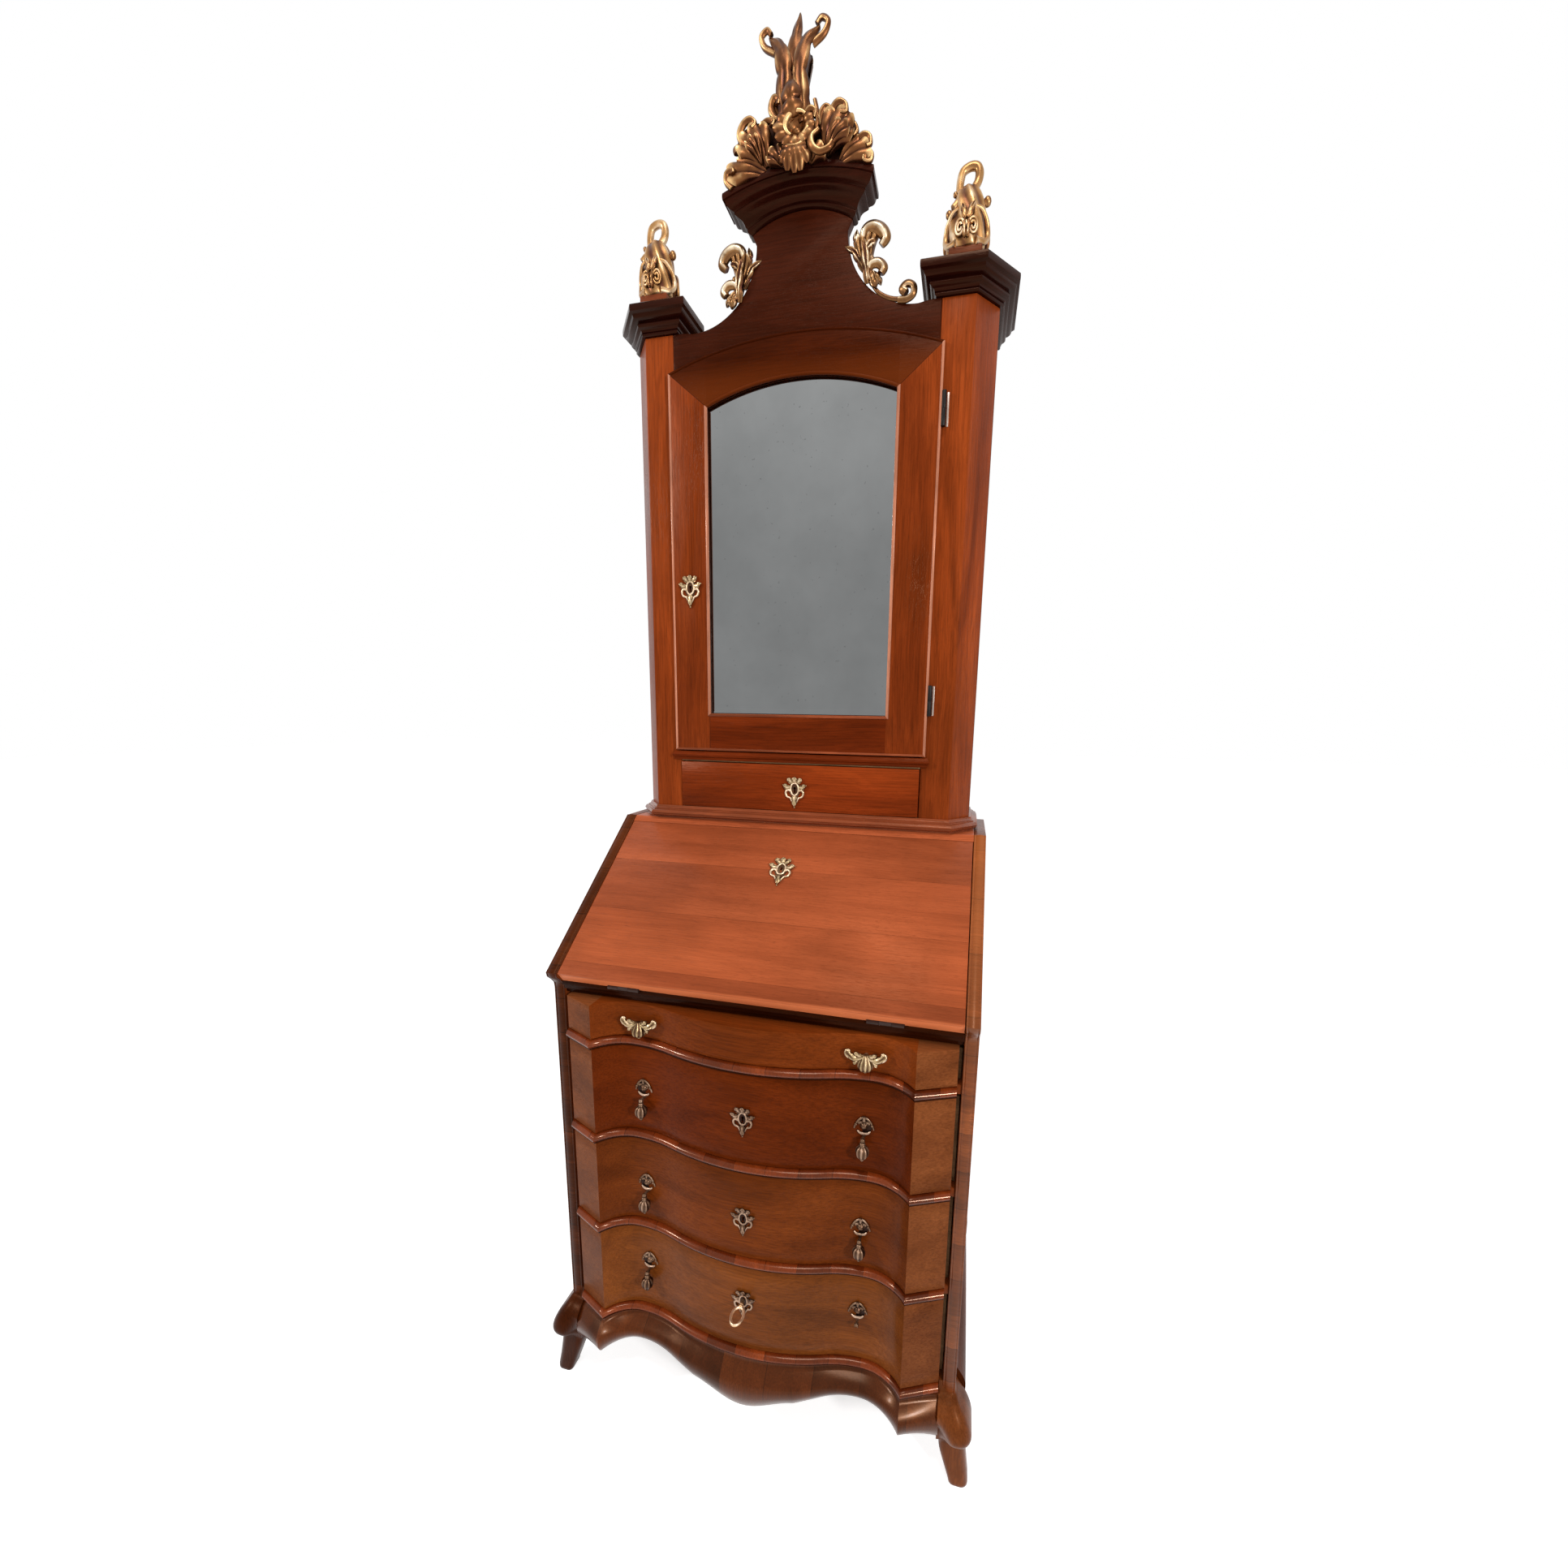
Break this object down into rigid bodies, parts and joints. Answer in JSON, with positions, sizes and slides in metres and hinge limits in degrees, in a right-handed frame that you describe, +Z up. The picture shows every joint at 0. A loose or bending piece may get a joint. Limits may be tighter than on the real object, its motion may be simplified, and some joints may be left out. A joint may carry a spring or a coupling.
{
  "type": "secretary desk",
  "caption": "Tall secretary desk: serpentine chest of drawers on scrolled feet, sloping fall-front lid, and a mirrored cabinet with canted corners, arched pediment and gilt carvings.",
  "frame": {"origin": "on the floor under the middle of the whole width and depth", "axes": "+X to the right of someone facing the desk, +Y to its back, +Z up"},
  "size_m": [0.816, 0.556, 2.4248],
  "materials": {
    "walnut": "figured walnut and burr veneer under a glossy reddish shellac polish",
    "dark_wood": "near-black stained wood, polished",
    "lining_wood": "plain pale lining wood, dull",
    "gilt_wood": "water-gilt carved wood, worn and darkened in the hollows",
    "gilt_brass": "pale gilt cast brass",
    "brass": "aged cast brass, brown in the hollows",
    "iron": "dark wrought iron",
    "mirror": "silvered plate glass"
  },
  "bodies": {
    "case": {"side_left": "walnut", "side_right": "walnut", "back_boards": "lining_wood", "desk_top": "walnut", "writing_bed": "walnut", "drawer_rails": "walnut", "dust_boards": "lining_wood", "apron_front": "walnut", "side_aprons": "walnut", "feet": "walnut", "pigeonholes": "lining_wood", "bed_hinges": "iron", "cabinet_sides": "walnut", "corner_posts": "walnut", "cabinet_boards": "lining_wood", "cabinet_back": "lining_wood", "cabinet_moulding": "walnut", "door_ledge": "walnut", "pediment": "dark_wood", "pediment_cap": "dark_wood", "capitals": "dark_wood", "finials": "gilt_wood", "crest": "gilt_wood", "pediment_scrolls": "gilt_wood", "door_pintles": "iron"},
    "lid": {"lid": "walnut", "lid_lock": "brass", "lid_hinges": "iron"},
    "door": {"door_frame": "walnut", "mirror_plate": "mirror", "mirror_back": "lining_wood", "door_lock": "brass", "door_straps": "iron"},
    "cabinet_drawer": {"cabinet_drawer_front": "walnut", "cabinet_drawer_box": "lining_wood", "cabinet_drawer_lock": "brass"},
    "slim_drawer": {"slim_drawer_front": "walnut", "slim_drawer_box": "lining_wood", "slim_drawer_handles": "gilt_brass"},
    "low_drawer": {"low_drawer_front": "walnut", "low_drawer_box": "lining_wood", "low_drawer_lock": "iron", "low_drawer_brasses": "brass"},
    "mid_drawer": {"mid_drawer_front": "walnut", "mid_drawer_box": "lining_wood", "mid_drawer_lock": "iron", "mid_drawer_brasses": "brass"},
    "high_drawer": {"high_drawer_front": "walnut", "high_drawer_box": "lining_wood", "high_drawer_lock": "iron", "high_drawer_brasses": "brass"},
    "low_drop_left": {"low_drop_left": "brass"},
    "mid_drop_left": {"mid_drop_left": "brass"},
    "mid_drop_right": {"mid_drop_right": "brass"},
    "high_drop_left": {"high_drop_left": "brass"},
    "high_drop_right": {"high_drop_right": "brass"},
    "small_drawer_left": {"small_drawer_left": "walnut"},
    "small_drawer_right": {"small_drawer_right": "walnut"},
    "key": {"key": "brass"}
  },
  "joints": [
    {"name": "lid_hinge", "type": "hinge", "parent": "case", "child": "lid", "pos_m": [0, -0.19911, 0.839], "axis": [1, 0, 0], "range_deg": [0, 141.66]},
    {"name": "door_hinge", "type": "hinge", "parent": "case", "child": "door", "pos_m": [0.2576, 0.085, 1.59], "axis": [0, 0, 1], "range_deg": [0, 160]},
    {"name": "cabinet_drawer_slide", "type": "slide", "parent": "case", "child": "cabinet_drawer", "axis": [0, -1, 0], "range_m": [0, 0.11]},
    {"name": "slim_drawer_slide", "type": "slide", "parent": "case", "child": "slim_drawer", "axis": [0, -1, 0], "range_m": [0, 0.32]},
    {"name": "low_drawer_slide", "type": "slide", "parent": "case", "child": "low_drawer", "axis": [0, -1, 0], "range_m": [0, 0.32]},
    {"name": "mid_drawer_slide", "type": "slide", "parent": "case", "child": "mid_drawer", "axis": [0, -1, 0], "range_m": [0, 0.32]},
    {"name": "high_drawer_slide", "type": "slide", "parent": "case", "child": "high_drawer", "axis": [0, -1, 0], "range_m": [0, 0.32]},
    {"name": "small_drawer_left_slide", "type": "slide", "parent": "case", "child": "small_drawer_left", "axis": [0, -1, 0], "range_m": [0, 0.13]},
    {"name": "small_drawer_right_slide", "type": "slide", "parent": "case", "child": "small_drawer_right", "axis": [0, -1, 0], "range_m": [0, 0.13]},
    {"name": "low_drop_left_pin", "type": "hinge", "parent": "low_drawer", "child": "low_drop_left", "pos_m": [-0.201, -0.20543, 0.26725], "axis": [-1, 0, 0], "range_deg": [0, 95]},
    {"name": "mid_drop_left_pin", "type": "hinge", "parent": "mid_drawer", "child": "mid_drop_left", "pos_m": [-0.201, -0.20543, 0.43625], "axis": [-1, 0, 0], "range_deg": [0, 95]},
    {"name": "mid_drop_right_pin", "type": "hinge", "parent": "mid_drawer", "child": "mid_drop_right", "pos_m": [0.201, -0.20543, 0.43625], "axis": [-1, 0, 0], "range_deg": [0, 95]},
    {"name": "high_drop_left_pin", "type": "hinge", "parent": "high_drawer", "child": "high_drop_left", "pos_m": [-0.201, -0.20543, 0.6295], "axis": [-1, 0, 0], "range_deg": [0, 95]},
    {"name": "high_drop_right_pin", "type": "hinge", "parent": "high_drawer", "child": "high_drop_right", "pos_m": [0.201, -0.20543, 0.6295], "axis": [-1, 0, 0], "range_deg": [0, 95]},
    {"name": "key_turn", "type": "hinge", "parent": "low_drawer", "child": "key", "pos_m": [0, -0.214, 0.28625], "axis": [0, 1, 0], "range_deg": [0, 180]}
  ]
}
